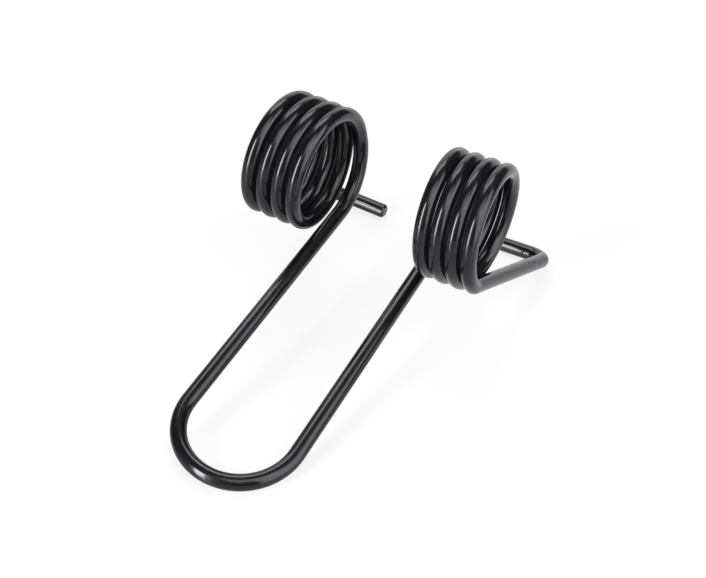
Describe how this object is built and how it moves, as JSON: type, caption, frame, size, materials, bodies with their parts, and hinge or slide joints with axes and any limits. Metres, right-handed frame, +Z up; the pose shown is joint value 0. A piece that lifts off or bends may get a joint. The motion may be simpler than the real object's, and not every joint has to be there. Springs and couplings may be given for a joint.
{
  "type": "spring tine",
  "caption": "Double torsion spring tine bent from one round bar: a long loop, two close coils, and two arms with short inward tails.",
  "frame": {"origin": "centre of the bounding box, on the ground that the crown of the loop and the two tails rest on", "axes": "+Z up from that ground; +Y from the loop's crown towards the tails; +X along the coils, from the left coil to the right one"},
  "size_m": [0.1402, 0.243, 0.1093],
  "materials": {
    "black_paint": "gloss black stoving paint over spring steel"
  },
  "bodies": {
    "root": {"spring_tine": "black_paint"}
  },
  "joints": []
}
